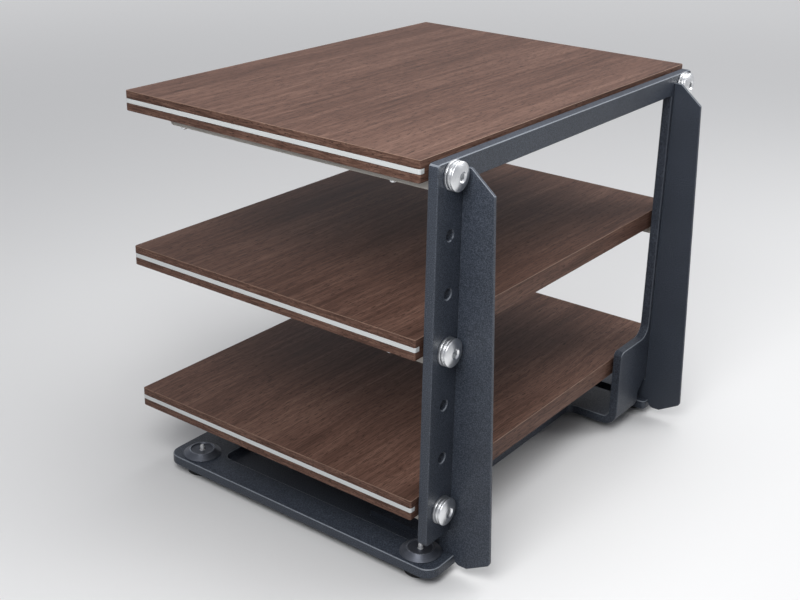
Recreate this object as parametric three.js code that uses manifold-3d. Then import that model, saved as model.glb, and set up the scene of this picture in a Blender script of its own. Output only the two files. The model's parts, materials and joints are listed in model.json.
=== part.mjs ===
// Audio equipment rack: three veneered shelves held along one side by a single bent steel plate.
// Millimetres, +Z up. X runs from the shelves' free edge to the upright side, Y along their long edge.
// The origin lies on the floor under the middle of the whole rack.

import * as THREE from "three";
import { mergeVertices } from "three/addons/utils/BufferGeometryUtils.js";
import Module from "manifold-3d";

const wasm = await Module();
wasm.setup();

// Fits
const clearance = 0.3;
const cutOverrun = 3;

// Shelf boards
const shelfDepth = 450;
const shelfLength = 625;
const shelfThickness = 25.5;
const shelfCornerRadius = 2.5;
const shelfEase = 0.5;
const shelfOverhang = 8.8;
const inlayHeight = 5.7;
const inlayDepth = 8;
const inlayRise = 9.8;

// Bent plate: side frame
const plateThickness = 13;
const plateChamfer = 1;
const postWidth = 55.6;
const postEndRise = 32;
const postEndRadius = 5;
const shelfGap = 4;
const railHeight = 28;
const railDrop = 4;
const topCornerRadius = 5;
const windowCornerRadius = 3;

// Bent plate: hole columns
const holePitch = 68;
const holeRise = 72;
const holeInset = 26;
const holesPerBay = 3;
const countersinkDepth = 1.2;

// Bent plate: tabs, bends and reliefs
const tabWidth = 80.5;
const tabRise = 106;
const tabCornerRadius = 8;
const tabFilletRadius = 19;
const bendRadius = 9;
const reliefWidth = 9;
const reliefSlopeDrop = 13;
const reliefFilletRadius = 7;
const reliefSetback = 9;

// Bent plate: base
const baseInset = 32;
const baseReach = 8;
const baseCornerRadius = 18;
const bandEndRadius = 6;
const cornerBandWidth = 61;
const longBandWidth = 40;
const freeBandWidth = 66;
const bridgeWidth = 53;
const notchDepth = 87;
const notchRadius = 12;
const pocketRadius = 13;
const channelEndSetback = 53;
const pocketFloorThickness = 5;

// Stiffening fins
const finThickness = 4;
const finInset = 46;
const finTopDrop = 11;
const finTopWidth = 10;
const finShoulderDrop = 37;
const finShoulderReach = 41;
const finReach = 59;
const finToeRise = 10;
const finToeChamfer = 2;
const finHeelDrop = 11;
const finHeelReach = 18;
const finHeelRadius = 9;
const finTopRadius = 5;
const finFootRelief = 5.7;

// Support arms under the shelves
const armWidth = 20;
const armHeight = 30;
const armDrop = 14;
const armInset = 51;
const armEndChamfer = 5;
const boltToShelfTop = 20;

// Arm bolts and their washers
const shankDiameter = 12;
const shankLength = 38;
const washerDiameter = 34;
const washerThickness = 3;
const headDiameter = 33.4;
const headFlange = 3.6;
const headGrooveWidth = 1.2;
const headGrooveDepth = 1;
const headBand = 2.2;
const headCrownRise = 3.1;
const crownDiameter = 14;
const mouthDiameter = 12.6;
const mouthDepth = 1.6;
const socketAcrossCorners = 9.4;
const socketDepth = 6;

// Screws from the arms into the boards
const screwDiameter = 4;
const screwHeadDiameter = 8;
const screwHeadHeight = 2.4;
const screwBite = 5.5;
const screwInset = 19;
const screwOffset = 5;

// Levelling feet
const footHeight = 12;
const footInset = 29;
const footFreeSetback = 37;
const footPostSetback = 36.3;
const discDiameter = 51;
const discEdgeHeight = 1;
const discHeight = 6.6;
const discRimDiameter = 34;
const discDishDiameter = 31;
const discDishDepth = 1.5;
const discSeatDiameter = 29;
const studDiameter = 8;
const studTipDiameter = 6;
const studTipRise = 12.5;
const studPlateDiameter = 34;
const padWall = 3;
const padFloor = 4;
const padHeight = 9;

// Worked-out places
const overallDepth = shelfDepth + shelfGap + plateThickness + finReach;
const shelfLeft = -overallDepth / 2;
const shelfRight = shelfLeft + shelfDepth;
const plateInner = shelfRight + shelfGap;
const plateOuter = plateInner + plateThickness;
const plateHalf = shelfLength / 2 - shelfOverhang;
const postInner = plateHalf - postWidth;
const tabInner = postInner - tabWidth;
const boltLine = plateHalf - holeInset;
const baseTop = footHeight + plateThickness;
const holeCount = 2 * holesPerBay + 1;
const holeBore = shankDiameter + 2 * clearance;
const holeHeights = Array.from({ length: holeCount }, (unused, i) => baseTop + holeRise + i * holePitch);
const boltHeights = holeHeights.filter((height, i) => i % holesPerBay === 0);
const railTop = boltHeights.at(-1) + boltToShelfTop - railDrop;
const railBottom = railTop - railHeight;
const bandInner = plateHalf - cornerBandWidth;
const stripOuter = bandInner - reliefWidth;
const bendCentreX = plateInner - bendRadius;
const bendCentreZ = baseTop + bendRadius;
const baseLeft = shelfLeft + baseInset;
const baseRight = plateOuter + baseReach;
const notchX = baseRight - notchDepth;
const pocketLeft = baseLeft + freeBandWidth;
const pocketRight = notchX - bridgeWidth;
const pocketHalf = plateHalf - longBandWidth;
const channelRight = baseRight - channelEndSetback;
const reliefEnd = bendCentreX - reliefSetback;
const footPlaces = [baseLeft + footFreeSetback, baseRight - footPostSetback];
const armTop = armHeight - armDrop - (shelfThickness - boltToShelfTop);
const grooveDepth = armHeight - armDrop + clearance;

// Materials, coloured after the real finishes
const surface = (color, roughness, metalness) => new THREE.MeshStandardMaterial({ color, roughness, metalness });
const finishes = {
  coat: () => surface(0x353941, 0.55, 0.35),
  veneer: () => surface(0x4a3128, 0.5, 0),
  inlay: () => surface(0xe4e6e4, 0.4, 0),
  arm: () => surface(0xa39d93, 0.45, 0.4),
  chrome: () => surface(0xd6d8da, 0.18, 1),
  turned: () => surface(0x24262a, 0.3, 0.8),
  rubber: () => surface(0x161617, 0.85, 0),
};

// Solids and meshes
function solidOf(geometry) {
  const bare = geometry.clone();
  bare.deleteAttribute("normal");
  bare.deleteAttribute("uv");
  const welded = mergeVertices(bare);
  const vertProperties = new Float32Array(welded.attributes.position.array);
  const triVerts = new Uint32Array(welded.index.array);
  return new wasm.Manifold(new wasm.Mesh({ numProp: 3, vertProperties, triVerts }));
}

function geometryOf(solid) {
  const { vertProperties, triVerts } = solid.getMesh();
  const geometry = new THREE.BufferGeometry();
  geometry.setAttribute("position", new THREE.BufferAttribute(vertProperties, 3));
  geometry.setIndex(new THREE.BufferAttribute(triVerts, 1));
  geometry.computeVertexNormals();
  return geometry;
}

function cut(body, ...tools) {
  return geometryOf(tools.reduce((rest, tool) => rest.subtract(solidOf(tool)), solidOf(body)));
}

function join(first, ...others) {
  return geometryOf(others.reduce((whole, other) => whole.add(solidOf(other)), solidOf(first)));
}

function piece(name, geometry, finish) {
  const mesh = new THREE.Mesh(geometry, finishes[finish]());
  mesh.name = name;
  return mesh;
}

// Directions: where an outline's own x, y and depth point
const east = new THREE.Vector3(1, 0, 0);
const north = new THREE.Vector3(0, 1, 0);
const up = new THREE.Vector3(0, 0, 1);
const facingEast = new THREE.Matrix4().makeBasis(north, up, east);
const facingSouth = new THREE.Matrix4().makeBasis(east, up, north.clone().negate());
const axisAlongX = new THREE.Matrix4().makeBasis(up, east, north);
const axisAlongZ = new THREE.Matrix4().makeBasis(east, up, north.clone().negate());

// An outline from corners [x, y, radius], each rounded by its own radius
function outline(corners) {
  const shape = new THREE.Shape();
  corners.forEach(([x, y, radius], i) => {
    const corner = new THREE.Vector2(x, y);
    if (!radius) {
      i === 0 ? shape.moveTo(x, y) : shape.lineTo(x, y);
      return;
    }
    const [beforeX, beforeY] = corners.at(i - 1);
    const [afterX, afterY] = corners[(i + 1) % corners.length];
    const back = new THREE.Vector2(beforeX, beforeY).sub(corner).normalize();
    const ahead = new THREE.Vector2(afterX, afterY).sub(corner).normalize();
    const half = Math.acos(THREE.MathUtils.clamp(back.dot(ahead), -1, 1)) / 2;
    const start = corner.clone().addScaledVector(back, radius / Math.tan(half));
    const end = corner.clone().addScaledVector(ahead, radius / Math.tan(half));
    const centre = back.clone().add(ahead).normalize().multiplyScalar(radius / Math.sin(half)).add(corner);
    const from = Math.atan2(start.y - centre.y, start.x - centre.x);
    const to = Math.atan2(end.y - centre.y, end.x - centre.x);
    i === 0 ? shape.moveTo(start.x, start.y) : shape.lineTo(start.x, start.y);
    shape.absarc(centre.x, centre.y, radius, from, to, back.cross(ahead) > 0);
  });
  shape.closePath();
  return shape;
}

const mirrored = (corners) => corners.map(([x, y, radius]) => [x, -y, radius]).reverse();

function slab(shape, thickness, chamfer, curveSegments = 3) {
  return new THREE.ExtrudeGeometry(shape, {
    depth: thickness - 2 * chamfer,
    bevelEnabled: chamfer > 0,
    bevelThickness: chamfer,
    bevelSize: chamfer,
    bevelOffset: -chamfer,
    bevelSegments: 1,
    curveSegments,
  }).translate(0, 0, chamfer);
}

function box(x0, x1, y0, y1, z0, z1) {
  return new THREE.BoxGeometry(x1 - x0, y1 - y0, z1 - z0).translate((x0 + x1) / 2, (y0 + y1) / 2, (z0 + z1) / 2);
}

// A turned solid from [radius, height] points, standing along its own Y axis
function turned(points, segments) {
  const profile = [...points, points[0]].map(([radius, height]) => new THREE.Vector2(radius, height));
  return new THREE.LatheGeometry(profile, segments);
}

function pin(radius, from, to, segments, endRadius = radius) {
  return new THREE.CylinderGeometry(endRadius, radius, to - from, segments).translate(0, (from + to) / 2, 0);
}

// Side frame: two posts, the rail across their tops, and the tabs that lead down into the bends
function sidePlate() {
  const tabFoot = bendCentreZ - cutOverrun;
  const rearHalf = [
    [plateHalf, railTop, topCornerRadius],
    [plateHalf, baseTop + postEndRise, postEndRadius],
    [postInner, baseTop + postEndRise, 0],
    [stripOuter, baseTop + postEndRise - reliefSlopeDrop, reliefFilletRadius],
    [stripOuter, tabFoot, 0],
    [tabInner, tabFoot, 0],
    [tabInner, baseTop + tabRise, tabCornerRadius],
    [postInner, baseTop + tabRise, tabFilletRadius],
    [postInner, railBottom, windowCornerRadius],
  ];
  const frontHalf = rearHalf.map(([y, z, radius]) => [-y, z, radius]).reverse();
  const plate = slab(outline([...rearHalf, ...frontHalf]), plateThickness, plateChamfer);
  plate.applyMatrix4(facingEast).translate(plateInner, 0, 0);
  const below = box(plateInner - cutOverrun, plateOuter + cutOverrun, -plateHalf, plateHalf,
    tabFoot - cutOverrun, bendCentreZ);
  return cut(plate, below, ...holeTools());
}

// Every hole goes through; those without a bolt show their countersink
function holeTools() {
  const tools = [];
  for (const y of [-boltLine, boltLine]) {
    for (const z of holeHeights) {
      const bore = pin(holeBore / 2, -cutOverrun, plateThickness + cutOverrun, 16);
      const sink = pin(holeBore / 2, plateThickness - countersinkDepth, plateThickness + countersinkDepth, 16,
        holeBore / 2 + 2 * countersinkDepth);
      const open = !boltHeights.includes(z);
      for (const tool of open ? [bore, sink] : [bore]) {
        tools.push(tool.applyMatrix4(axisAlongX).translate(plateInner, y, z));
      }
    }
  }
  return tools;
}

// Base: corner bands under the posts, bend reliefs, the set-back edge between the tabs, and the pocket
function basePlate() {
  const frontHalf = [
    [baseLeft, -plateHalf, baseCornerRadius],
    [baseRight, -plateHalf, baseCornerRadius],
    [baseRight, -bandInner, bandEndRadius],
    [reliefEnd, -bandInner, reliefWidth / 2],
    [reliefEnd, -stripOuter, reliefWidth / 2 - clearance],
    [baseRight, -stripOuter, 0],
    [baseRight, -tabInner, 0],
    [notchX, -tabInner, notchRadius],
  ];
  const plate = slab(outline([...frontHalf, ...mirrored(frontHalf)]), plateThickness, plateChamfer);
  plate.translate(0, 0, footHeight);
  const pocket = slab(pocketOutline(0), plateThickness + 2 * cutOverrun, 0);
  pocket.translate(0, 0, footHeight - cutOverrun);
  const tools = [pocket];
  for (const side of [-1, 1]) {
    const strip = [side * (tabInner - cutOverrun), side * (stripOuter + clearance)].sort((a, b) => a - b);
    tools.push(box(bendCentreX, baseRight + cutOverrun, ...strip, 0, baseTop + cutOverrun));
    for (const x of footPlaces) {
      const bore = pin(studDiameter / 2 + clearance, 0, baseTop + cutOverrun, 16).applyMatrix4(axisAlongZ);
      tools.push(bore.translate(x, side * (plateHalf - footInset), 0));
    }
  }
  return cut(plate, ...tools);
}

function pocketOutline(inset) {
  const radius = pocketRadius - inset;
  const inner = Math.max(bandInner, stripOuter) + inset;
  const half = [
    [pocketLeft + inset, -pocketHalf + inset, radius],
    [channelRight - inset, -pocketHalf + inset, windowCornerRadius],
    [channelRight - inset, -inner, windowCornerRadius],
    [pocketRight - inset, -inner, windowCornerRadius],
  ];
  return outline([...half, ...mirrored(half)]);
}

// A bend: the plate's chamfered section carried round a quarter turn
function bend(y0, y1) {
  const steps = 8;
  const inside = bendRadius;
  const outside = bendRadius + plateThickness;
  const section = [
    [inside, y0 + plateChamfer], [inside + plateChamfer, y0], [outside - plateChamfer, y0],
    [outside, y0 + plateChamfer], [outside, y1 - plateChamfer], [outside - plateChamfer, y1],
    [inside + plateChamfer, y1], [inside, y1 - plateChamfer],
  ];
  const positions = [];
  const triangles = [];
  for (let step = 0; step <= steps; step += 1) {
    const angle = (step / steps) * Math.PI / 2;
    for (const [radius, y] of section) {
      const x = bendCentreX + radius * Math.cos(angle);
      positions.push(x, y, bendCentreZ - radius * Math.sin(angle));
    }
  }
  const count = section.length;
  for (let step = 0; step < steps; step += 1) {
    for (let i = 0; i < count; i += 1) {
      const a = step * count + i;
      const b = step * count + (i + 1) % count;
      triangles.push(a, a + count, b, b, a + count, b + count);
    }
  }
  for (let i = 1; i < count - 1; i += 1) {
    triangles.push(0, i, i + 1);
    triangles.push(steps * count, steps * count + i + 1, steps * count + i);
  }
  const geometry = new THREE.BufferGeometry();
  geometry.setAttribute("position", new THREE.Float32BufferAttribute(positions, 3));
  geometry.setIndex(triangles);
  return geometry;
}

// A fin: flat top, sloped shoulder, slow taper outwards, a heel that hangs past the base's edge, and a foot
// that fills the gap under the post's end
function fin() {
  const root = plateOuter + clearance;
  const heel = baseRight + clearance;
  const underPost = baseTop + postEndRise - clearance;
  const corners = [
    [heel, baseTop + clearance, 0],
    [heel, baseTop - finHeelDrop, finHeelRadius],
    [plateOuter + finHeelReach + finHeelRadius, baseTop - finHeelDrop, 0],
    [plateOuter + finReach - finToeChamfer, baseTop + finToeRise - 2 * finToeChamfer, 0],
    [plateOuter + finReach, baseTop + finToeRise, 0],
    [plateOuter + finShoulderReach, railTop - finShoulderDrop, 0],
    [plateOuter + finTopWidth, railTop - finTopDrop, finTopRadius],
    [root, railTop - finTopDrop, 0],
    [root, underPost, 0],
    [plateInner, underPost, 0],
    [plateInner, baseTop + clearance + finFootRelief, 0],
    [plateInner + finFootRelief, baseTop + clearance, 0],
  ];
  return slab(outline(corners), finThickness, 0, 4).applyMatrix4(facingSouth);
}

// Shelf pieces are made with the bolt's axis at height zero
const shelfUnderside = boltToShelfTop - shelfThickness;
const armBottom = shelfUnderside - armDrop;
const armRight = plateInner - clearance;
const armLeft = shelfLeft + armInset;
const screwPlaces = [armLeft + screwInset, shelfRight - screwInset - shankLength];

function shelfBoard() {
  const half = shelfLength / 2;
  const corners = [
    [shelfLeft, -half, shelfCornerRadius],
    [shelfRight, -half, shelfCornerRadius],
    [shelfRight, half, shelfCornerRadius],
    [shelfLeft, half, shelfCornerRadius],
  ];
  const board = slab(outline(corners), shelfThickness, shelfEase, 2).translate(0, 0, shelfUnderside);
  const slotBottom = shelfUnderside + inlayRise;
  const tools = [box(shelfLeft - cutOverrun, shelfRight + cutOverrun, -half - cutOverrun,
    -half + inlayDepth + clearance, slotBottom - clearance, slotBottom + inlayHeight + clearance)];
  for (const y of [-boltLine, boltLine]) {
    const reach = armWidth / 2 + clearance;
    tools.push(box(armLeft - clearance, shelfRight + cutOverrun, y - reach, y + reach,
      shelfUnderside - cutOverrun, shelfUnderside + grooveDepth));
    for (const x of screwPlaces) {
      const pilot = pin(screwDiameter / 2 + clearance, 0, armTop + screwBite + clearance, 10);
      tools.push(pilot.applyMatrix4(axisAlongZ).translate(x, y + Math.sign(y) * screwOffset, 0));
    }
  }
  return cut(board, ...tools);
}

function shelfInlay() {
  const half = shelfLength / 2;
  const corners = [
    [shelfLeft, -half, shelfCornerRadius],
    [shelfRight, -half, shelfCornerRadius],
    [shelfRight, -half + inlayDepth, 0],
    [shelfLeft, -half + inlayDepth, 0],
  ];
  return slab(outline(corners), inlayHeight, 0, 2).translate(0, 0, shelfUnderside + inlayRise);
}

function supportArm(outward) {
  const corners = [
    [armLeft, armBottom, armEndChamfer],
    [armRight, armBottom, 0],
    [armRight, armTop, 0],
    [armLeft, armTop, 0],
  ];
  const bar = slab(outline(corners), armWidth, 0, 2).applyMatrix4(facingSouth).translate(0, armWidth / 2, 0);
  const reach = shankLength + clearance;
  const bore = pin(shankDiameter / 2 + clearance, -reach, cutOverrun, 16).applyMatrix4(axisAlongX);
  const tools = [bore.translate(armRight, 0, 0)];
  for (const x of screwPlaces) {
    const hole = pin(screwDiameter / 2 + clearance, armBottom - cutOverrun, armTop + cutOverrun, 10);
    tools.push(hole.applyMatrix4(axisAlongZ).translate(x, outward * screwOffset, 0));
  }
  return cut(bar, ...tools);
}

// Head from the washer outwards: flange, groove, band, shallow cone, and a crown whose mouth leads to the socket
function armBolt() {
  const tail = -plateThickness - shankLength;
  const seat = washerThickness + 2 * clearance;
  const flangeTop = seat + headFlange;
  const bandBottom = flangeTop + headGrooveWidth;
  const bandTop = bandBottom + headBand;
  const crown = bandTop + headCrownRise;
  const radius = headDiameter / 2;
  const profile = [
    [0, tail],
    [shankDiameter / 2, tail],
    [shankDiameter / 2, seat],
    [radius, seat],
    [radius, flangeTop],
    [radius - headGrooveDepth, flangeTop],
    [radius - headGrooveDepth, bandBottom],
    [radius, bandBottom],
    [radius, bandTop],
    [crownDiameter / 2, crown],
    [mouthDiameter / 2, crown],
    [socketAcrossCorners / 2, crown - mouthDepth],
    [0, crown - mouthDepth],
  ];
  const socket = pin(socketAcrossCorners / 2, crown - mouthDepth - socketDepth, crown, 6);
  return cut(turned(profile, 20), socket).applyMatrix4(axisAlongX);
}

function boltWasher() {
  const inner = shankDiameter / 2 + clearance;
  const outer = washerDiameter / 2;
  return turned([
    [inner, clearance],
    [outer, clearance],
    [outer, clearance + washerThickness],
    [inner, clearance + washerThickness],
  ], 20).applyMatrix4(axisAlongX);
}

function shelfScrew() {
  const seat = armBottom - clearance;
  return turned([
    [0, seat - screwHeadHeight],
    [screwHeadDiameter / 2 - screwHeadHeight / 2, seat - screwHeadHeight],
    [screwHeadDiameter / 2, seat],
    [screwDiameter / 2, seat],
    [screwDiameter / 2, armTop],
    [0, armTop + screwBite],
  ], 8).applyMatrix4(axisAlongZ);
}

// Foot pieces are made about the stud's axis, with the floor at height zero
function lockDisc() {
  const seat = baseTop + clearance;
  const bore = studDiameter / 2 + clearance;
  return turned([
    [bore, seat],
    [discDiameter / 2, seat],
    [discDiameter / 2, seat + discEdgeHeight],
    [discRimDiameter / 2, seat + discHeight],
    [discDishDiameter / 2, seat + discHeight],
    [discSeatDiameter / 2, seat + discHeight - discDishDepth],
    [bore, seat + discHeight - discDishDepth],
  ], 28).applyMatrix4(axisAlongZ);
}

function footStud() {
  const shoulder = baseTop + discHeight - discDishDepth;
  const tip = shoulder + studTipRise - (discHeight - discDishDepth);
  return turned([
    [0, padFloor + clearance],
    [studPlateDiameter / 2, padFloor + clearance],
    [studPlateDiameter / 2, footHeight - clearance],
    [studDiameter / 2, footHeight - clearance],
    [studDiameter / 2, shoulder],
    [studTipDiameter / 2, shoulder],
    [studTipDiameter / 2, tip - discEdgeHeight],
    [studTipDiameter / 2 - discEdgeHeight, tip],
    [0, tip],
  ], 16).applyMatrix4(axisAlongZ);
}

function footPad() {
  const inner = studPlateDiameter / 2 + clearance;
  return turned([
    [0, 0],
    [inner + padWall - discEdgeHeight, 0],
    [inner + padWall, discEdgeHeight],
    [inner + padWall, padHeight],
    [inner, padHeight],
    [inner, padFloor],
    [0, padFloor],
  ], 20).applyMatrix4(axisAlongZ);
}

// Assembly
const rack = new THREE.Group();
const sides = [["front", -1], ["rear", 1]];

const frame = join(sidePlate(), basePlate(), bend(-stripOuter, -tabInner), bend(tabInner, stripOuter));
rack.add(piece("main_frame", frame, "coat"));
const pocketFloor = slab(pocketOutline(clearance), pocketFloorThickness, 0).translate(0, 0, footHeight);
rack.add(piece("base_floor", pocketFloor, "coat"));
for (const [side, sign] of sides) {
  const mesh = piece(`fin_${side}`, fin(), "coat");
  mesh.position.y = sign * (plateHalf - finInset - finThickness / 2) + finThickness / 2;
  rack.add(mesh);
}

["bottom", "middle", "top"].forEach((level, i) => {
  const shelf = new THREE.Group();
  shelf.position.z = boltHeights[i];
  shelf.add(piece(`shelf_${level}`, shelfBoard(), "veneer"));
  shelf.add(piece(`inlay_${level}`, shelfInlay(), "inlay"));
  for (const [side, sign] of sides) {
    const mounting = new THREE.Group();
    mounting.position.y = sign * boltLine;
    mounting.add(piece(`arm_${level}_${side}`, supportArm(sign), "arm"));
    const fastening = new THREE.Group();
    fastening.position.x = plateOuter;
    fastening.add(piece(`washer_${level}_${side}`, boltWasher(), "chrome"));
    fastening.add(piece(`bolt_${level}_${side}`, armBolt(), "chrome"));
    mounting.add(fastening);
    screwPlaces.forEach((x, place) => {
      const screw = piece(`screw_${level}_${side}_${place + 1}`, shelfScrew(), "chrome");
      screw.position.set(x, sign * screwOffset, 0);
      mounting.add(screw);
    });
    shelf.add(mounting);
  }
  rack.add(shelf);
});

for (const [side, sign] of sides) {
  footPlaces.forEach((x, place) => {
    const foot = new THREE.Group();
    foot.position.set(x, sign * (plateHalf - footInset), 0);
    const corner = `${side}_${["free", "post"][place]}`;
    foot.add(piece(`disc_${corner}`, lockDisc(), "turned"));
    foot.add(piece(`stud_${corner}`, footStud(), "chrome"));
    foot.add(piece(`pad_${corner}`, footPad(), "rubber"));
    rack.add(foot);
  });
}

export default rack;
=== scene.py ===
import json
import math

import bmesh
import bpy
from mathutils import Matrix, Vector

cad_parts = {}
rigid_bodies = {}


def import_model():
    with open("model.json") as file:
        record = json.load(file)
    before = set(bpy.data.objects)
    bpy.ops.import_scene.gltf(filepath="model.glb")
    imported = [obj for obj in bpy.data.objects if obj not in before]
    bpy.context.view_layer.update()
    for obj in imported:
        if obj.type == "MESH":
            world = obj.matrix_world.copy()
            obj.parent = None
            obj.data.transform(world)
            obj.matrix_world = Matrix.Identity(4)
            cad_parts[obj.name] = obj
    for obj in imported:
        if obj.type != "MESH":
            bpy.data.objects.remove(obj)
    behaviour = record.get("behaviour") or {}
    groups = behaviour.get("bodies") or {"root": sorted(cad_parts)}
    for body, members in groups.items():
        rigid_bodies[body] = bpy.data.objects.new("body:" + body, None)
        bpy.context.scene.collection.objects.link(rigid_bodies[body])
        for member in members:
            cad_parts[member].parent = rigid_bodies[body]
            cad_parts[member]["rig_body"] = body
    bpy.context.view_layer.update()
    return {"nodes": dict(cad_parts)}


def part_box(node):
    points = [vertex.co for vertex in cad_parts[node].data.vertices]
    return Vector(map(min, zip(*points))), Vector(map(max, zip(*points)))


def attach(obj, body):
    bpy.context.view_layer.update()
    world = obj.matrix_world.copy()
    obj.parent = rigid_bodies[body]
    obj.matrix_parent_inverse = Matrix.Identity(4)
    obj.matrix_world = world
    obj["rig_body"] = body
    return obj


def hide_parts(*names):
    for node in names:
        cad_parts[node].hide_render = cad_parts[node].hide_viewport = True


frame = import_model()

bl_info = {
    "name": "Audio Equipment Rack",
    "version": (1, 0, 0),
    "blender": (4, 5, 0),
    "location": "3D View > Sidebar > Rack",
    "description": "Dresses a bent-plate rack with veneered shelves, turned bolts and levelling feet",
    "category": "Object",
}

MM = 0.001
LEVELS = ("bottom", "middle", "top")
SIDES = ("front", "rear")
ENDS = ("free", "post")
ARMS = [f"{level}_{side}" for level in LEVELS for side in SIDES]
CORNERS = [f"{side}_{end}" for side in SIDES for end in ENDS]

# Fine measures that the CAD leaves to this script

PLATE_EDGE = 1.2 * MM
FIN_EDGE = 0.7 * MM
ARM_EDGE = 0.9 * MM
INLAY_EDGE = 0.25 * MM
CHAMFER_WIDTH = 1.6 * MM
CLEARANCE = 0.3 * MM


# Sizes and colours that a user would change

def colour(name, description, default):
    return bpy.props.FloatVectorProperty(
        name=name, description=description, default=default, subtype="COLOR", size=3, min=0, max=1)


def length(name, description, default):
    """A length whose default is given in millimetres."""
    return bpy.props.FloatProperty(
        name=name, description=description, default=default * MM,
        unit="LENGTH", subtype="DISTANCE", min=0)


def amount(name, description, default):
    return bpy.props.FloatProperty(
        name=name, description=description, default=default, subtype="FACTOR", min=0, max=1)


class RackFinish(bpy.types.PropertyGroup):
    coat: colour("Powder coat", "Main colour of the coated steel", (0.038, 0.046, 0.063))
    coat_pit: colour("Coat pit", "Darker specks in the coat", (0.017, 0.022, 0.032))
    coat_speck: colour("Coat speck", "Lighter specks in the coat", (0.084, 0.099, 0.127))
    # Painted highlight: the pale colour given to the coat's arrises, which stands in for light caught by
    # the edges.
    coat_arris_highlight: colour("Coat arris", "Where the coat thins over an arris", (0.250, 0.275, 0.310))
    coat_roughness: amount("Coat roughness", "How dull the powder coat is", 0.40)
    grain_dark: colour("Dark grain", "Darkest streaks of the veneer", (0.050, 0.023, 0.015))
    grain_middle: colour("Middle grain", "Ground colour of the veneer", (0.124, 0.064, 0.046))
    grain_light: colour("Light grain", "Palest streaks of the veneer", (0.220, 0.127, 0.094))
    # Painted highlight: the pale colour given to the veneer's arrises, which stands in for light caught
    # by the edges.
    grain_arris_highlight: colour("Wood arris", "Where the veneer's edge shows paler", (0.42, 0.29, 0.22))
    pore: colour("Pores", "Open pores of the veneer", (0.034, 0.016, 0.011))
    inlay: colour("Inlay", "White line in the shelves' front edge", (0.74, 0.76, 0.76))
    arm: colour("Support arm", "Light coated bars under the shelves", (0.80, 0.76, 0.69))
    chrome: colour("Bright steel", "Bolts, washers, screws and studs", (0.80, 0.81, 0.82))
    turned: colour("Blackened steel", "Lock discs of the feet", (0.095, 0.104, 0.127))
    # Painted highlight: the pale colour of the lock discs' top rim, which stands in for light caught by
    # the rim.
    turned_rim_highlight: colour("Rubbed rim", "Where the discs' black is rubbed through", (0.22, 0.24, 0.28))
    rubber: colour("Rubber", "Foot pads", (0.018, 0.018, 0.019))


class TurnedSizes(bpy.types.PropertyGroup):
    bolt_flange: length("Bolt flange", "Height of the bolt head's flange", 3.6)
    bolt_groove_width: length("Bolt groove width", "Width of the groove above the flange", 1.2)
    bolt_groove_depth: length("Bolt groove depth", "Depth of the groove above the flange", 1.0)
    bolt_band: length("Bolt band", "Height of the straight band above the groove", 2.2)
    bolt_crown: length("Bolt crown", "Diameter of the bolt's flat crown", 14.0)
    bolt_mouth: length("Bolt mouth", "Diameter of the countersink in the crown", 12.6)
    bolt_mouth_depth: length("Bolt mouth depth", "Depth of the countersink in the crown", 1.6)
    bolt_socket: length("Bolt socket", "Width of the hexagon socket across its flats", 8.14)
    bolt_socket_depth: length("Bolt socket depth", "Depth of the hexagon socket", 6.0)
    bolt_shank: length("Bolt shank", "Diameter of the bolt's shank", 12.0)
    disc_edge: length("Disc edge", "Height of the lock disc's outer edge", 1.0)
    disc_rim: length("Disc rim", "Diameter of the lock disc's top rim", 34.0)
    disc_dish: length("Disc dish", "Diameter of the hollow in the lock disc", 31.0)
    disc_dish_depth: length("Disc dish depth", "Depth of the hollow in the lock disc", 1.5)
    disc_seat: length("Disc seat", "Diameter of the flat floor of the dish", 29.0)
    stud: length("Stud", "Diameter of the foot's stud", 8.0)
    stud_tip: length("Stud tip", "Diameter of the stud's turned-down tip", 6.0)
    thread_pitch: length("Thread pitch", "Distance between the stud's threads", 1.25)
    edge: length("Soft edge", "Radius of small broken edges", 0.5)
    turning_pitch: length("Turning marks", "Distance between the marks of the lathe", 0.32)


class StageSettings(bpy.types.PropertyGroup):
    floor: colour("Floor", "Pale studio floor", (0.80, 0.80, 0.80))
    floor_bounce: amount(
        "Floor bounce", "Share of the floor's colour that lights the rack from below", 0.35)
    sky: amount("Sky", "Strength of the even light from all round", 0.26)
    horizon_glow: amount(
        "Horizon glow", "How far the distant floor and the sky are lifted towards white", 0.36)
    lens: bpy.props.FloatProperty(
        name="Lens", description="Focal length of the camera, in mm of a 36 mm sensor", default=55.72)
    shift_x: bpy.props.FloatProperty(
        name="Shift X", description="Sideways shift of the lens", default=-0.0294)
    shift_y: bpy.props.FloatProperty(
        name="Shift Y", description="Upward shift of the lens", default=-0.0575)
    eye: bpy.props.FloatVectorProperty(
        name="Eye", description="Where the camera stands", default=(0.9052, -1.3017, 0.8945),
        unit="LENGTH", subtype="TRANSLATION")
    aim: bpy.props.FloatVectorProperty(
        name="Aim", description="The point on the lens axis beside the rack",
        default=(-0.0236, -0.0087, 0.2794), unit="LENGTH", subtype="TRANSLATION")
    roll: bpy.props.FloatProperty(
        name="Roll", description="Turn of the camera about its axis", default=math.radians(1.658),
        unit="ROTATION", subtype="ANGLE")


# Node helpers

def solid(value):
    """A colour with its alpha added. A socket that gives a colour stays as it is."""
    return value if isinstance(value, bpy.types.NodeSocket) else (*value, 1.0)


class Tree:
    """Short ways to add and join the nodes of a node tree."""

    def __init__(self, tree):
        self.tree = tree

    def add(self, kind, inputs=None, **properties):
        made = self.tree.nodes.new(kind)
        for key, value in properties.items():
            setattr(made, key, value)
        for key, value in (inputs or {}).items():
            if isinstance(value, bpy.types.NodeSocket):
                self.tree.links.new(value, made.inputs[key])
            else:
                made.inputs[key].default_value = value
        return made

    def sum(self, *weighted, start=0.0):
        """Adds up pairs of a value and its weight."""
        total = start
        for value, weight in weighted:
            inputs = {0: value, 1: weight, 2: total}
            total = self.add("ShaderNodeMath", inputs, operation="MULTIPLY_ADD").outputs[0]
        return total


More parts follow.
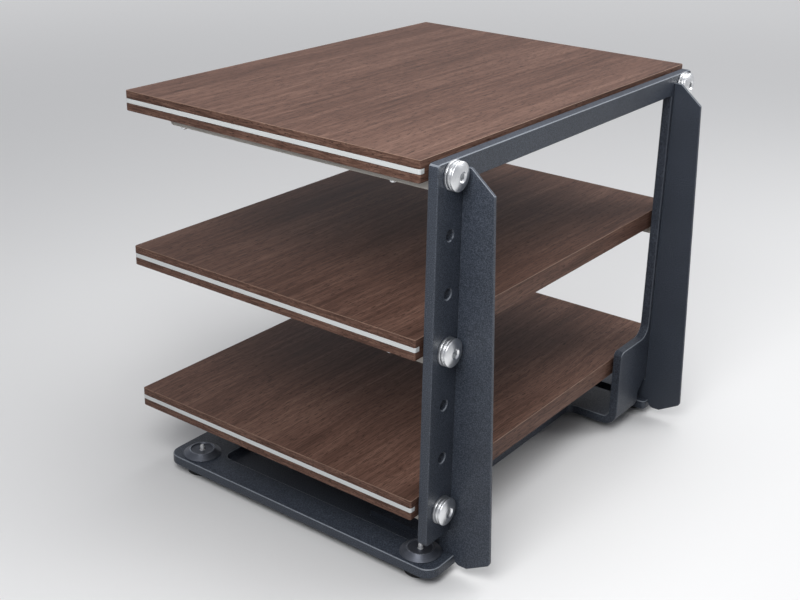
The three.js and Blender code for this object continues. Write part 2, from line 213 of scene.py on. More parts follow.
class Finish(Tree):
    """The nodes of one material, whose patterns lie on the piece's own coordinates in metres."""

    def __init__(self, name):
        self.material = bpy.data.materials.new(name)
        self.material.use_nodes = True
        super().__init__(self.material.node_tree)
        self.shader = self.tree.nodes["Principled BSDF"]
        self.place = self.add("ShaderNodeTexCoord").outputs["Object"]

    def stretch(self, vector, scale):
        return self.add("ShaderNodeMapping", {"Vector": vector, "Scale": scale}).outputs["Vector"]

    def noise(self, vector, per_metre, detail=2.0, roughness=0.5):
        """A grey noise with so many blotches to a metre."""
        return self.add("ShaderNodeTexNoise", {
            "Vector": vector, "Scale": per_metre, "Detail": detail, "Roughness": roughness,
        }).outputs["Fac"]

    def ramp(self, factor, *stops):
        """Turns a factor into a colour, by stops of a position and a colour or a grey."""
        made = self.add("ShaderNodeValToRGB", {"Fac": factor})
        elements = made.color_ramp.elements
        while len(elements) < len(stops):
            elements.new(0.5)
        for element, (position, value) in zip(elements, stops):
            element.position = position
            element.color = solid((value, value, value) if isinstance(value, float) else value)
        return made.outputs["Color"]

    def mix(self, factor, first, second, blend="MIX"):
        """Mixes two colours. A Mix node's colours are its sockets 6 and 7, and 2 is their result."""
        inputs = {0: factor, 6: solid(first), 7: solid(second)}
        return self.add("ShaderNodeMix", inputs, data_type="RGBA", blend_type=blend).outputs[2]

    def span(self, value, low, high):
        return self.add(
            "ShaderNodeMapRange", {"Value": value, "To Min": low, "To Max": high}).outputs["Result"]

    def own(self, attribute):
        return self.add("ShaderNodeAttribute", attribute_name=attribute).outputs["Fac"]

    def turning(self, pitch):
        """Marks left by a lathe, laid along the profile that the piece was turned from."""
        return self.add("ShaderNodeTexNoise", {
            "W": self.own("turning"), "Scale": 1 / pitch, "Detail": 1.0,
        }, noise_dimensions="1D").outputs["Fac"]

    def link(self, output, socket):
        self.tree.links.new(output, self.shader.inputs[socket])

    def set(self, **values):
        for key, value in values.items():
            self.shader.inputs[key.replace("_", " ")].default_value = value

    def paint(self, tint, shade):
        """Colours the material, made darker and lighter by a grey shade."""
        self.link(self.mix(1.0, tint, shade, "MULTIPLY"), "Base Color")

    def dull(self, value, least, most):
        """Lets the roughness follow a value."""
        self.link(self.span(value, least, most), "Roughness")

    def bump(self, height, strength, distance):
        made = self.add("ShaderNodeBump", {"Height": height, "Strength": strength, "Distance": distance})
        self.link(made.outputs["Normal"], "Normal")


def once(name, maker, *arguments, **named):
    """The material of that name, made only the first time."""
    return bpy.data.materials.get(name) or maker(name, *arguments, **named)


# Finishes

def powder_coat(name, colours):
    coat = Finish(name)
    cloud = coat.noise(coat.place, 9.0, detail=3.0)
    speck = coat.noise(coat.place, 820.0, roughness=0.6)
    pimple = coat.noise(coat.place, 1300.0)
    base = coat.ramp(speck, (0.34, colours.coat_pit), (0.49, colours.coat), (0.68, colours.coat_speck))
    # Painted highlight: the marked arrises are lightened towards the arris highlight colour, most where
    # they face up.
    arris = coat.own("arris")
    arris_highlight_share = coat.sum((arris, 0.8), (arris, coat.span(speck, -0.5, 0.5)))
    coat_highlighted = coat.mix(arris_highlight_share, base, colours.coat_arris_highlight)
    coat.paint(coat_highlighted, coat.ramp(cloud, (0.3, 0.86), (0.7, 1.08)))
    coat.dull(pimple, colours.coat_roughness - 0.08, colours.coat_roughness + 0.10)
    coat.set(Specular_IOR_Level=0.38)
    coat.bump(coat.sum((speck, 0.6), (pimple, 0.4)), strength=0.5, distance=0.6 * MM)
    return coat.material


def walnut(name, colours, along):
    """Veneer whose grain runs along the board (Y), or across it (X) as on the end edges."""
    wood = Finish(name)
    sway = 22 * MM
    drift = wood.add("ShaderNodeTexNoise", {"Vector": wood.place, "Scale": 3.2, "Detail": 2.0})
    centred = wood.add("ShaderNodeVectorMath", {
        0: drift.outputs["Color"], 1: (0.5, 0.5, 0.5)}, operation="SUBTRACT")
    scaled = wood.add("ShaderNodeVectorMath", {
        0: centred.outputs[0], "Scale": sway}, operation="SCALE")
    bent = wood.add("ShaderNodeVectorMath", {
        0: wood.place, 1: scaled.outputs[0]}, operation="ADD").outputs[0]

    def lines(run, per_metre, detail, roughness):
        squeeze = (1.0, run, 1.0) if along == "Y" else (run * 3, 1.0, 1.0)
        return wood.noise(wood.stretch(bent, squeeze), per_metre, detail, roughness)

    figure = lines(0.07, 26.0, detail=2.0, roughness=0.5)
    streak = lines(0.03, 170.0, detail=3.0, roughness=0.6)
    fine = lines(0.02, 700.0, detail=2.0, roughness=0.6)
    dash = lines(0.06, 1300.0, detail=1.0, roughness=0.4)
    figure_share = 0.26 if along == "Y" else 0.06
    tone = wood.sum((figure, figure_share), (streak, 0.34), (fine, 0.66 - figure_share))
    ground = wood.ramp(
        tone, (0.34, colours.grain_dark), (0.50, colours.grain_middle), (0.66, colours.grain_light))
    pores = wood.ramp(dash, (0.30, 1.0), (0.42, 0.0))
    grown = wood.mix(pores, ground, colours.pore)
    # Painted highlight: the marked arrises are lightened towards the wood's arris highlight colour.
    pale = wood.sum((wood.own("arris"), 0.4))
    wood.link(wood.mix(pale, grown, colours.grain_arris_highlight), "Base Color")
    wood.dull(fine, 0.42, 0.64)
    wood.set(Specular_IOR_Level=0.21)
    wood.bump(wood.sum((fine, 0.6), (dash, 0.4)), strength=0.3, distance=0.4 * MM)
    return wood.material


def white_inlay(name, colours):
    bar = Finish(name)
    brush = bar.noise(bar.stretch(bar.place, (0.03, 1.0, 1.0)), 900.0)
    cloud = bar.noise(bar.place, 14.0)
    bar.paint(colours.inlay, bar.ramp(bar.sum((brush, 0.6), (cloud, 0.4)), (0.35, 0.93), (0.65, 1.04)))
    bar.dull(brush, 0.26, 0.42)
    bar.bump(brush, strength=0.12, distance=0.2 * MM)
    return bar.material


def arm_paint(name, colours):
    bar = Finish(name)
    drag = bar.noise(bar.stretch(bar.place, (0.04, 1.0, 1.0)), 420.0, detail=3.0)
    peel = bar.noise(bar.place, 620.0)
    bar.paint(colours.arm, bar.ramp(drag, (0.3, 0.90), (0.7, 1.05)))
    bar.dull(peel, 0.36, 0.52)
    bar.bump(peel, strength=0.15, distance=0.4 * MM)
    return bar.material


def bright_steel(name, colours, pitch, metallic=1.0, duller=0.0):
    steel = Finish(name)
    haze = steel.noise(steel.place, 160.0, detail=3.0)
    marks = steel.turning(pitch)
    streaks = steel.sum((haze, 0.4), (marks, 0.6))
    steel.paint(colours.chrome, steel.ramp(streaks, (0.32, 0.88), (0.68, 1.04)))
    steel.dull(haze, 0.27 + duller, 0.35 + duller)
    steel.set(Metallic=metallic)
    steel.bump(marks, strength=0.1, distance=0.01 * MM)
    return steel.material


def blackened_steel(name, colours, pitch):
    steel = Finish(name)
    haze = steel.noise(steel.place, 120.0, detail=3.0)
    marks = steel.turning(pitch)
    # Painted highlight: the top rim is lightened towards the rim highlight colour, and made a little
    # glossier.
    rim_highlight = steel.own("rim_highlight")
    base = steel.mix(rim_highlight, colours.turned, colours.turned_rim_highlight)
    streaks = steel.sum((haze, 0.5), (marks, 0.5))
    steel.paint(base, steel.ramp(streaks, (0.32, 0.74), (0.68, 1.22)))
    steel.link(steel.sum((steel.span(haze, 0.32, 0.44), 1.0), (rim_highlight, -0.12)), "Roughness")
    steel.set(Metallic=0.55)
    steel.bump(marks, strength=0.2, distance=0.03 * MM)
    return steel.material


def foot_rubber(name, colours):
    rubber = Finish(name)
    grit = rubber.noise(rubber.place, 1300.0, detail=3.0)
    rubber.paint(colours.rubber, rubber.ramp(grit, (0.3, 0.75), (0.7, 1.3)))
    rubber.dull(grit, 0.72, 0.9)
    rubber.bump(grit, strength=0.25, distance=0.3 * MM)
    return rubber.material


# Mesh helpers

def cad_copy(node):
    """A merged copy of a CAD node's mesh, with its flat faces made whole again."""
    bm = bmesh.new()
    # This layer holds where the painted highlight on the arrises goes.
    bm.faces.layers.float.new("arris")
    bm.from_mesh(frame["nodes"][node].data)
    bmesh.ops.remove_doubles(bm, verts=bm.verts, dist=0.01 * MM)
    bmesh.ops.dissolve_limit(
        bm, angle_limit=math.radians(0.4), verts=bm.verts, edges=bm.edges, use_dissolve_boundaries=False)
    return bm


def middle_of(edge):
    return (edge.verts[0].co + edge.verts[1].co) / 2


def mark_arris_highlight(bm, faces):
    """Marks faces that get a painted highlight on their arris, strongest where they face up, as if lit
    from above.
    """
    marks = bm.faces.layers.float["arris"]
    least = 0.12
    for face in faces:
        face.normal_update()
        facing_up = max(0.0, min(1.0, face.normal.z * 1.6))
        face[marks] = least + (1 - least) * facing_up


def is_chamfer(face):
    """True for the narrow slanted faces along the CAD's edges."""
    longest = max(edge.calc_length() for edge in face.edges)
    narrow = face.calc_area() / longest < CHAMFER_WIDTH
    slanted = max(abs(part) for part in face.normal) < 0.9
    return narrow and slanted


def soften(bm, radius, segments, keep=lambda edge: True, sharper_than=40, clamp=True):
    """Bevels the kept edges that turn by more than the given angle, in degrees.

    The new faces are returned."""
    limit = math.radians(sharper_than)
    edges = [e for e in bm.edges if e.is_manifold and e.calc_face_angle(0.0) > limit and keep(e)]
    return bmesh.ops.bevel(
        bm, geom=edges, offset=radius, offset_type="OFFSET", affect="EDGES", segments=segments,
        profile=0.5, material=-1, clamp_overlap=clamp)["faces"]


def turn(bm, profile, steps):
    """Spins a profile of (radius, height) points, in metres, round the Z axis.

    Every point keeps its way along the profile, which is what the lathe's marks follow."""
    marks = bm.verts.layers.float.new("turning")
    made = [bm.verts.new((radius, 0.0, height)) for radius, height in profile]
    for before, after in zip(made, made[1:]):
        after[marks] = before[marks] + (after.co - before.co).length
    edges = [bm.edges.new(pair) for pair in zip(made, made[1:])]
    bmesh.ops.spin(
        bm, geom=made + edges, cent=(0, 0, 0), axis=(0, 0, 1), angle=math.tau, steps=steps,
        use_merge=True)
    bmesh.ops.remove_doubles(bm, verts=bm.verts, dist=0.002 * MM)
    bmesh.ops.recalc_face_normals(bm, faces=bm.faces)


def rounded(corners, steps=4):
    """A profile made from (radius, height, rounding) corners.

    A curve takes the place of each corner, from the rounding's length before it to as far after it."""
    points = []
    for i, (radius, height, rounding) in enumerate(corners):
        corner = Vector((radius, height))
        if not rounding:
            points.append(corner)
            continue
        ways = [(Vector(corners[j][:2]) - corner).normalized() * rounding for j in (i - 1, i + 1)]
        for step in range(steps + 1):
            share = step / steps
            points.append(corner + ways[0] * (1 - share) ** 2 + ways[1] * share ** 2)
    return [tuple(point) for point in points]


def ring(corners):
    """A rounded profile that ends where it starts, for a piece with a bore."""
    points = rounded(corners)
    return [*points, points[0]]


def only(kind, geometry):
    """The parts of one kind, such as the edges, out of mixed geometry."""
    return [part for part in geometry if isinstance(part, kind)]


def rim_loop(bm, height):
    """The open edges that lie at the given height."""
    near = 0.005 * MM
    return [e for e in bm.edges if e.is_boundary and all(abs(v.co.z - height) < near for v in e.verts)]


def hexagon_socket(bm, height, across_flats, depth, mouth=0.0):
    """Closes an open round rim at the given height with a hexagon socket, below a countersunk mouth."""
    sixth = math.tau / 6
    lip = bmesh.ops.extrude_edge_only(bm, edges=rim_loop(bm, height))["geom"]
    for vert in only(bmesh.types.BMVert, lip):
        bearing = math.atan2(vert.co.y, vert.co.x)
        reach = across_flats / 2 / math.cos(bearing % sixth - sixth / 2)
        vert.co = (reach * math.cos(bearing), reach * math.sin(bearing), height - mouth)
    wall = bmesh.ops.extrude_edge_only(bm, edges=only(bmesh.types.BMEdge, lip))["geom"]
    bmesh.ops.translate(bm, verts=only(bmesh.types.BMVert, wall), vec=(0, 0, -depth))
    bmesh.ops.contextual_create(bm, geom=only(bmesh.types.BMEdge, wall))
    bmesh.ops.recalc_face_normals(bm, faces=bm.faces)


# A turned piece is spun about Z. These lay it along X and stand it on its head.
ALONG_X = Matrix.Rotation(math.radians(90), 4, "Y")
UPSIDE_DOWN = Matrix.Rotation(math.pi, 4, "X")


def place(bm, centre, turned=None):
    """Moves a piece that was made at the origin to its place, after a turn if one is given."""
    if turned is not None:
        bmesh.ops.transform(bm, matrix=turned, verts=bm.verts)
    bmesh.ops.translate(bm, verts=bm.verts, vec=centre)


def add_piece(name, bm, node, slot, *materials, smooth_below=35, weighted=False):
    """Makes a mesh object that stands for a CAD node and rides on its body."""
    mesh = bpy.data.meshes.new(name)
    bm.to_mesh(mesh)
    bm.free()
    for material in materials:
        mesh.materials.append(material)
    mesh.shade_smooth()
    mesh.set_sharp_from_angle(angle=math.radians(smooth_below))
    piece = bpy.data.objects.new(name, mesh)
    bpy.context.scene.collection.objects.link(piece)
    if weighted:
        modifier = piece.modifiers.new("Even shading", "WEIGHTED_NORMAL")
        modifier.keep_sharp = True
        modifier.weight = 90
    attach(piece, frame["nodes"][node]["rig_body"])
    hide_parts(node)


# Pieces

class RACK_OT_plate(bpy.types.Operator):
    """Build the bent plate with its posts, rail, tabs and base, and the sheet under the base's pocket"""
    bl_idname = "rack.plate"
    bl_label = "Bent Plate"

    def execute(self, context):
        coat = once("powder_coat", powder_coat, context.scene.rack_finish)
        plate = cad_copy("main_frame")
        # The chamfers and the softened rim of the pocket get the painted highlight.
        mark_arris_highlight(plate, [face for face in plate.faces if is_chamfer(face)])
        mark_arris_highlight(plate, soften(
            plate, PLATE_EDGE, segments=3, keep=self.pocket_rim(), sharper_than=80, clamp=False))
        add_piece("frame_plate", plate, "main_frame", "coat", coat, smooth_below=30, weighted=True)
        sheet = cad_copy("base_floor")
        mark_arris_highlight(sheet, soften(sheet, context.scene.rack_turned.edge, segments=2))
        add_piece("pocket_floor", sheet, "base_floor", "coat", coat, weighted=True)
        return {"FINISHED"}

    def pocket_rim(self):
        """A test that keeps the edges round the pocket on the base's top, but not the tongue's."""
        base_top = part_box("disc_front_free")[0].z
        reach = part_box("base_floor")[1].y
        end_strip = 19 * MM
        outside = 1 * MM
        level = 0.4 * MM

        def keep(edge):
            middle = middle_of(edge)
            clear_of_tongue = middle.x < 0 or abs(middle.y) > reach - end_strip
            return (clear_of_tongue and abs(middle.y) < reach + outside
                    and abs(middle.z - base_top) < level)

        return keep


class RACK_OT_fins(bpy.types.Operator):
    """Build the two stiffening fins with softened edges"""
    bl_idname = "rack.fins"
    bl_label = "Stiffening Fins"

    def execute(self, context):
        coat = once("powder_coat", powder_coat, context.scene.rack_finish)
        for side in SIDES:
            bm = cad_copy(f"fin_{side}")
            # The softened edges get the painted highlight.
            mark_arris_highlight(bm, soften(bm, FIN_EDGE, segments=3))
            add_piece(f"fin_plate_{side}", bm, f"fin_{side}", "coat", coat, weighted=True)
        return {"FINISHED"}


class RACK_OT_shelves(bpy.types.Operator):
    """Build the veneered boards, with long grain on the faces and cross grain on the end edges"""
    bl_idname = "rack.shelves"
    bl_label = "Shelf Boards"

    def execute(self, context):
        colours = context.scene.rack_finish
        long_grain = once("walnut_long", walnut, colours, "Y")
        cross_grain = once("walnut_cross", walnut, colours, "X")
        for level in LEVELS:
            bm = cad_copy(f"shelf_{level}")
            for face in bm.faces:
                on_end_edge = abs(face.normal.y) > 0.7
                face.material_index = 1 if on_end_edge else 0
            # The chamfers get the painted highlight.
            mark_arris_highlight(bm, [face for face in bm.faces if is_chamfer(face)])
            add_piece(f"board_{level}", bm, f"shelf_{level}", "veneer", long_grain, cross_grain,
                      smooth_below=30, weighted=True)
        return {"FINISHED"}


class RACK_OT_inlays(bpy.types.Operator):
    """Build the white bars let into the shelves' front edges"""
    bl_idname = "rack.inlays"
    bl_label = "White Inlays"

    def execute(self, context):
        white = once("white_inlay", white_inlay, context.scene.rack_finish)
        for level in LEVELS:
            bm = cad_copy(f"inlay_{level}")
            soften(bm, INLAY_EDGE, segments=2)
            add_piece(f"inlay_bar_{level}", bm, f"inlay_{level}", "inlay", white, weighted=True)
        return {"FINISHED"}


class RACK_OT_arms(bpy.types.Operator):
    """Build the six support arms under the shelves"""
    bl_idname = "rack.arms"
    bl_label = "Support Arms"

    def execute(self, context):
        paint = once("arm_paint", arm_paint, context.scene.rack_finish)
        for arm in ARMS:
            bm = cad_copy(f"arm_{arm}")
            soften(bm, ARM_EDGE, segments=3, keep=self.long_sides(arm))
            add_piece(f"arm_bar_{arm}", bm, f"arm_{arm}", "arm", paint, weighted=True)
        return {"FINISHED"}

    def long_sides(self, arm):
        """A test that keeps the edges of an arm's two long sides, but not those at the post."""
        low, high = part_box(f"arm_{arm}")
        from_side = 0.1 * MM
        from_post = 0.5 * MM

        def keep(edge):
            middle = middle_of(edge)
            return (min(middle.y - low.y, high.y - middle.y) < from_side
                    and middle.x < high.x - from_post)

        return keep


class RACK_OT_bolts(bpy.types.Operator):
    """Build the arm bolts with tapered heads and hexagon sockets, and the washers behind them"""
    bl_idname = "rack.bolts"
    bl_label = "Arm Bolts"

    def execute(self, context):
        sizes = context.scene.rack_turned
        steel = once("bright_steel", bright_steel, context.scene.rack_finish, sizes.turning_pitch)
        for arm in ARMS:
            self.washer(arm, sizes, steel)
            self.bolt(arm, sizes, steel)
        return {"FINISHED"}

    def washer(self, arm, sizes, steel):
        low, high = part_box(f"washer_{arm}")
        middle = (low + high) / 2
        outer = (high.y - low.y) / 2
        bore = sizes.bolt_shank / 2 + CLEARANCE
        thick = high.x - low.x
        bm = bmesh.new()
        turn(bm, ring([
            (bore, 0.0, 0.0), (outer, 0.0, sizes.edge), (outer, thick, sizes.edge), (bore, thick, 0.0),
        ]), steps=66)
        place(bm, (low.x, middle.y, middle.z), ALONG_X)
        add_piece(f"washer_ring_{arm}", bm, f"washer_{arm}", "bright_metal", steel, smooth_below=50)

    def bolt(self, arm, sizes, steel):
        low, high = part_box(f"bolt_{arm}")
        middle = (low + high) / 2
        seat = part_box(f"washer_{arm}")[1].x + CLEARANCE
        radius = (high.y - low.y) / 2
        head = high.x - seat
        tail = low.x - seat
        shank = sizes.bolt_shank / 2
        flange = sizes.bolt_flange
        groove = flange + sizes.bolt_groove_width
        band = groove + sizes.bolt_band
        waist = radius - sizes.bolt_groove_depth
        crown = sizes.bolt_crown / 2
        crisp = 0.3 * MM
        blunt = 0.7 * MM
        shank_end = 0.8 * MM
        bm = bmesh.new()
        turn(bm, rounded([
            (0.0, tail, 0.0), (shank, tail, shank_end), (shank, 0.0, 0.0), (radius, 0.0, crisp),
            (radius, flange, sizes.edge), (waist, flange, 0.0), (waist, groove, 0.0),
            (radius, groove, crisp), (radius, band, blunt), *self.cone(radius, band, crown, head),
            (crown, head, crisp), (sizes.bolt_mouth / 2, head, 0.0),
        ]), steps=66)
        hexagon_socket(bm, head, sizes.bolt_socket, sizes.bolt_socket_depth, sizes.bolt_mouth_depth)
        place(bm, (seat, middle.y, middle.z), ALONG_X)
        add_piece(f"arm_bolt_{arm}", bm, f"bolt_{arm}", "bright_metal", steel, smooth_below=32)

    def cone(self, radius, band, crown, head):
        """Points on the head's taper from the band to the crown, which swells a little halfway."""
        swell = 0.35 * MM
        points = []
        for share in (0.25, 0.5, 0.75):
            height = band + (head - band) * share + swell * 4 * share * (1 - share)
            points.append((radius + (crown - radius) * share, height, 0.0))
        return points


class RACK_OT_screws(bpy.types.Operator):
    """Build the small screws that hold the boards to the arms"""
    bl_idname = "rack.screws"
    bl_label = "Board Screws"

    def execute(self, context):
        pitch = context.scene.rack_turned.turning_pitch
        steel = once("bright_steel", bright_steel, context.scene.rack_finish, pitch)
        for arm in ARMS:
            for number in (1, 2):
                self.screw(f"{arm}_{number}", steel)
        return {"FINISHED"}

    def screw(self, spot, steel):
        low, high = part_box(f"screw_{spot}")
        middle = (low + high) / 2
        radius = (high.y - low.y) / 2
        tall = high.z - low.z
        head = 2.4 * MM
        shank = radius / 2
        tip = 0.2 * MM
        point = 4 * MM
        taper = 6 * MM
        head_outline = ((1.0, 1.0), (1.0, 0.55), (0.93, 0.2), (0.8, 0.0), (0.55, 0.0))
        bm = bmesh.new()
        turn(bm, [
            (tip, -tall), (shank * 0.9, -tall + point), (shank, -tall + taper), (shank, -head),
            *((radius * across, -head * down) for across, down in head_outline),
        ], steps=36)
        hexagon_socket(bm, 0.0, across_flats=radius * 0.62, depth=head * 0.55)
        bmesh.ops.holes_fill(bm, edges=[e for e in bm.edges if e.is_boundary], sides=0)
        bmesh.ops.recalc_face_normals(bm, faces=bm.faces)
        place(bm, (middle.x, middle.y, low.z), UPSIDE_DOWN)
        add_piece(f"board_screw_{spot}", bm, f"screw_{spot}", "bright_metal", steel, smooth_below=40)


class RACK_OT_feet(bpy.types.Operator):
    """Build the levelling feet: turned lock discs, threaded studs and rubber pads"""
    bl_idname = "rack.feet"
    bl_label = "Levelling Feet"

    def execute(self, context):
        sizes = context.scene.rack_turned
        colours = context.scene.rack_finish
        pitch = sizes.turning_pitch
        black = once("blackened_steel", blackened_steel, colours, pitch * 2)
        zinc = once("plated_steel", bright_steel, colours, pitch, metallic=0.45, duller=0.06)
        rubber = once("foot_rubber", foot_rubber, colours)
        for corner in CORNERS:
            self.disc(corner, sizes, black)
            self.stud(corner, sizes, zinc)
            self.pad(corner, rubber)
        return {"FINISHED"}

    def disc(self, corner, sizes, black):
        low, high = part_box(f"disc_{corner}")
        middle = (low + high) / 2
        radius = (high.x - low.x) / 2
        tall = high.z - low.z
        bore = sizes.stud / 2 + CLEARANCE
        floor = tall - sizes.disc_dish_depth
        rim = sizes.disc_rim / 2
        rim_chamfer = 0.8 * MM
        lower_edge = 0.25 * MM
        upper_edge = 0.3 * MM
        rim_edge = 0.5 * MM
        lip_edge = 0.4 * MM
        seat_edge = 0.6 * MM
        bm = bmesh.new()
        turn(bm, ring([
            (bore, 0.0, 0.0), (radius, 0.0, lower_edge), (radius, sizes.disc_edge, upper_edge),
            (rim + rim_chamfer, tall - rim_chamfer, 0.0), (rim, tall, rim_edge),
            (sizes.disc_dish / 2, tall, lip_edge), (sizes.disc_seat / 2, floor, seat_edge),
            (bore, floor, 0.0),
        ]), steps=96)
        # Painted highlight: the faces at the very top of the rim are marked to be lightened.
        rim_highlight = bm.verts.layers.float.new("rim_highlight")
        rim_highlight_down_to = tall - 0.3 * MM
        for vert in bm.verts:
            vert[rim_highlight] = 1.0 if vert.co.z > rim_highlight_down_to else 0.0
        place(bm, (middle.x, middle.y, low.z))
        add_piece(f"lock_disc_{corner}", bm, f"disc_{corner}", "turned_steel", black, smooth_below=30)

    def stud(self, corner, sizes, steel):
        low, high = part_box(f"stud_{corner}")
        middle = (low + high) / 2
        tall = high.z - low.z
        plate = (high.x - low.x) / 2
        plate_top = 7.4 * MM
        plate_edge = 0.6 * MM
        shank = sizes.stud / 2
        core = shank - 0.5 * MM
        below_disc = sizes.disc_dish_depth + 0.6 * MM
        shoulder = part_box(f"disc_{corner}")[1].z - low.z - below_disc
        bm = bmesh.new()
        turn(bm, rounded([
            (0.0, 0.0, 0.0), (plate, 0.0, plate_edge), (plate, plate_top, plate_edge),
            (core, plate_top, 0.0), *self.thread(shank, plate_top, shoulder, sizes.thread_pitch),
            (core, shoulder, 0.0), *self.tip(sizes.stud_tip / 2, shoulder, tall), (0.0, tall, 0.0),
        ]), steps=48)
        place(bm, (middle.x, middle.y, low.z))
        add_piece(f"foot_stud_{corner}", bm, f"stud_{corner}", "bright_metal", steel, smooth_below=50)

    def thread(self, shank, foot, end, pitch):
        """The roots and crests of the thread that fit between two heights, one of each to a pitch."""
        root = shank - 0.55 * MM
        crest_share = 0.45
        turns = int((end - foot) / pitch) - 1
        points = []
        for number in range(1, turns + 1):
            points += [(root, foot + number * pitch, 0.0),
                       (shank, foot + (number + crest_share) * pitch, 0.0)]
        return points

    def tip(self, radius, shoulder, tall):
        """The turned-down end: a plain pin, a narrow neck and a button with a rounded top."""
        neck = radius - 1.1 * MM
        button = radius - 0.6 * MM
        button_top = radius - 0.9 * MM
        pin_end = tall - 2.3 * MM
        neck_foot = tall - 2.2 * MM
        neck_end = tall - 1.8 * MM
        button_foot = tall - 1.7 * MM
        pin_edge = 0.4 * MM
        button_edge = 1.1 * MM
        return [
            (radius, shoulder, 0.0), (radius, pin_end, pin_edge), (neck, neck_foot, 0.0),
            (neck, neck_end, 0.0), (button, button_foot, 0.0), (button_top, tall, button_edge),
        ]

    def pad(self, corner, rubber):
        low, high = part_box(f"pad_{corner}")
        middle = (low + high) / 2
        radius = (high.x - low.x) / 2
        tall = high.z - low.z
        inner = radius - 3.0 * MM
        floor = 4.0 * MM
        outer_edge = 0.6 * MM
        inner_edge = 0.4 * MM
        lower_edge = [(radius - 1.2 * MM, 0), (radius - 0.3 * MM, 0.35 * MM), (radius, 1.1 * MM)]
        bm = bmesh.new()
        turn(bm, [
            (0, 0), *lower_edge, *self.grooves(radius, tall),
            (radius, tall - outer_edge), (radius - outer_edge, tall),
            (inner + inner_edge, tall), (inner, tall - inner_edge), (inner, floor), (0, floor),
        ], steps=64)
        place(bm, (middle.x, middle.y, low.z))
        add_piece(f"foot_pad_{corner}", bm, f"pad_{corner}", "rubber", rubber, smooth_below=40)

    def grooves(self, radius, tall):
        """Three grooves round the pad, which leave ribs between them."""
        bottom = radius - 0.5 * MM
        slope = 0.3 * MM
        width = 1.0 * MM
        points = []
        for share in (0.3, 0.5, 0.7):
            foot = tall * share
            points += [(radius, foot), (bottom, foot + slope), (bottom, foot + width - slope),
                       (radius, foot + width)]
        return points


# Stage

# These rays see the floor and the sky in full. All others, which light the rack, see them dimmer.
SEEN_RAYS = ("Is Camera Ray", "Is Glossy Ray", "Is Transmission Ray")
WHITE = (1.0, 1.0, 1.0)
SKY_COLOUR = (0.92, 0.94, 1.0)
SKY_SHARE_OF_GLOW = 0.75

# Metres from the rack at which the floor's glow starts and is full, and half the floor's side
GLOW_STARTS = 0.8
GLOW_FULL = 4.5
FLOOR_HALF_SIZE = 300.0

# Name, place, side in metres and power in watts of each lamp, all turned to the middle of the rack
LAMPS = (
    ("Overhead softbox", (0.3, 0.5, 2.3), 1.8, 32.5),
    ("Front softbox", (0.45, -1.15, 1.30), 0.8, 15.5),
    ("Rear softbox", (1.4, 1.5, 1.5), 1.1, 14.5),
)
LIT_POINT = Vector((0, 0, 0.25))


def look_from(where, aim):
    """The turn that points a lamp or a camera from where it stands at its aim."""
    return (Vector(aim) - Vector(where)).to_track_quat("-Z", "Y")


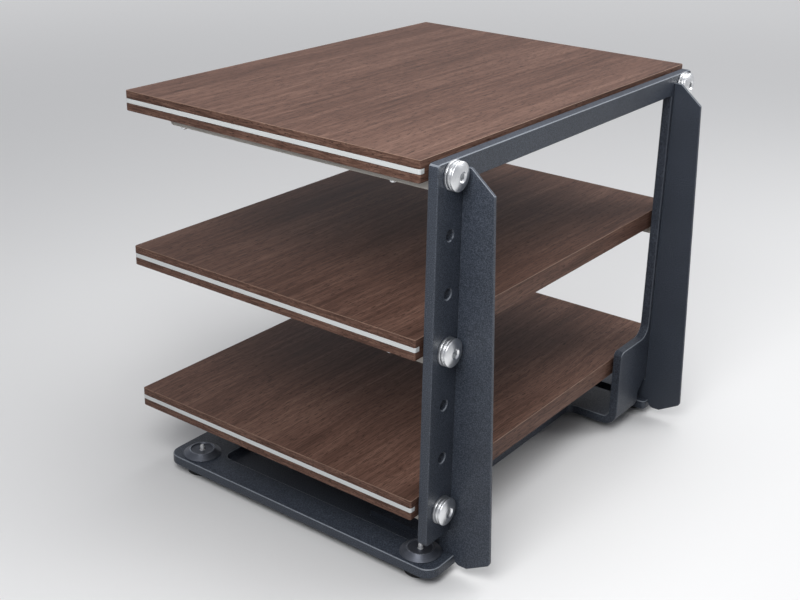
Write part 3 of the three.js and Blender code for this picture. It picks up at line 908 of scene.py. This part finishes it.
class RACK_OT_stage(bpy.types.Operator):
    """Set the pale floor, the soft studio light and the camera"""
    bl_idname = "rack.stage"
    bl_label = "Studio Stage"

    def execute(self, context):
        scene = context.scene
        self.floor(scene, scene.rack_stage)
        self.world(scene, scene.rack_stage)
        for lamp in LAMPS:
            self.lamp(scene, *lamp)
        self.camera(scene, scene.rack_stage)
        scene.view_settings.view_transform = "Standard"
        return {"FINISHED"}

    def floor(self, scene, stage):
        surface = Finish("studio_floor")
        path = surface.add("ShaderNodeLightPath").outputs
        seen = surface.sum(*((path[ray], 1.0) for ray in SEEN_RAYS))
        bounce = [part * stage.floor_bounce for part in stage.floor]
        surface.link(surface.mix(seen, bounce, stage.floor), "Base Color")
        away = surface.add("ShaderNodeVectorMath", {0: surface.place}, operation="LENGTH")
        far = surface.add("ShaderNodeMapRange", {
            "Value": away.outputs["Value"], "From Min": GLOW_STARTS, "From Max": GLOW_FULL,
            "To Max": stage.horizon_glow}, interpolation_type="SMOOTHSTEP")
        glow = surface.add("ShaderNodeMath", {0: seen, 1: far.outputs["Result"]}, operation="MULTIPLY")
        surface.link(glow.outputs[0], "Emission Strength")
        surface.set(Roughness=0.8, Emission_Color=solid(WHITE))
        mesh = bpy.data.meshes.new("studio_floor")
        bm = bmesh.new()
        bmesh.ops.create_grid(bm, x_segments=1, y_segments=1, size=FLOOR_HALF_SIZE)
        bm.to_mesh(mesh)
        bm.free()
        mesh.materials.append(surface.material)
        floor = bpy.data.objects.new("studio_floor", mesh)
        scene.collection.objects.link(floor)

    def world(self, scene, stage):
        world = bpy.data.worlds.new("Studio")
        world.use_nodes = True
        sky = Tree(world.node_tree)
        background = sky.tree.nodes["Background"].inputs
        path = sky.add("ShaderNodeLightPath").outputs
        glow = stage.horizon_glow * SKY_SHARE_OF_GLOW
        strength = sky.sum(*((path[ray], glow) for ray in SEEN_RAYS), start=stage.sky)
        background["Color"].default_value = solid(SKY_COLOUR)
        sky.tree.links.new(strength, background["Strength"])
        scene.world = world

    def lamp(self, scene, name, where, side, power):
        data = bpy.data.lights.new(name, "AREA")
        data.shape = "SQUARE"
        data.size = side
        data.energy = power
        lamp = bpy.data.objects.new(name, data)
        lamp.location = where
        lamp.visible_camera = False
        lamp.rotation_euler = look_from(where, LIT_POINT).to_euler()
        scene.collection.objects.link(lamp)

    def camera(self, scene, stage):
        data = bpy.data.cameras.new("Camera")
        data.sensor_width = 36.0
        data.lens = stage.lens
        data.shift_x = stage.shift_x
        data.shift_y = stage.shift_y
        camera = bpy.data.objects.new("Camera", data)
        look = look_from(stage.eye, stage.aim)
        roll = Matrix.Rotation(stage.roll, 4, "Z")
        camera.matrix_world = Matrix.Translation(stage.eye) @ look.to_matrix().to_4x4() @ roll
        scene.collection.objects.link(camera)
        scene.camera = camera


# Sidebar and start

OPERATORS = (
    RACK_OT_plate, RACK_OT_fins, RACK_OT_shelves, RACK_OT_inlays, RACK_OT_arms, RACK_OT_bolts,
    RACK_OT_screws, RACK_OT_feet, RACK_OT_stage,
)


class RACK_PT_sidebar(bpy.types.Panel):
    """Lists the rack's pieces, finishes and sizes"""
    bl_idname = "RACK_PT_sidebar"
    bl_label = "Audio Equipment Rack"
    bl_space_type = "VIEW_3D"
    bl_region_type = "UI"
    bl_category = "Rack"

    def draw(self, context):
        for operator in OPERATORS:
            self.layout.operator(operator.bl_idname)
        for group in (context.scene.rack_finish, context.scene.rack_turned, context.scene.rack_stage):
            column = self.layout.column()
            for key in type(group).__annotations__:
                column.prop(group, key)


CLASSES = (RackFinish, TurnedSizes, StageSettings, *OPERATORS, RACK_PT_sidebar)


def register():
    for cls in CLASSES:
        bpy.utils.register_class(cls)
    bpy.types.Scene.rack_finish = bpy.props.PointerProperty(type=RackFinish)
    bpy.types.Scene.rack_turned = bpy.props.PointerProperty(type=TurnedSizes)
    bpy.types.Scene.rack_stage = bpy.props.PointerProperty(type=StageSettings)


def unregister():
    del bpy.types.Scene.rack_stage
    del bpy.types.Scene.rack_turned
    del bpy.types.Scene.rack_finish
    for cls in reversed(CLASSES):
        bpy.utils.unregister_class(cls)


def main():
    register()
    bpy.ops.rack.plate()
    bpy.ops.rack.fins()
    bpy.ops.rack.shelves()
    bpy.ops.rack.inlays()
    bpy.ops.rack.arms()
    bpy.ops.rack.bolts()
    bpy.ops.rack.screws()
    bpy.ops.rack.feet()
    bpy.ops.rack.stage()


if __name__ == "__main__":
    main()
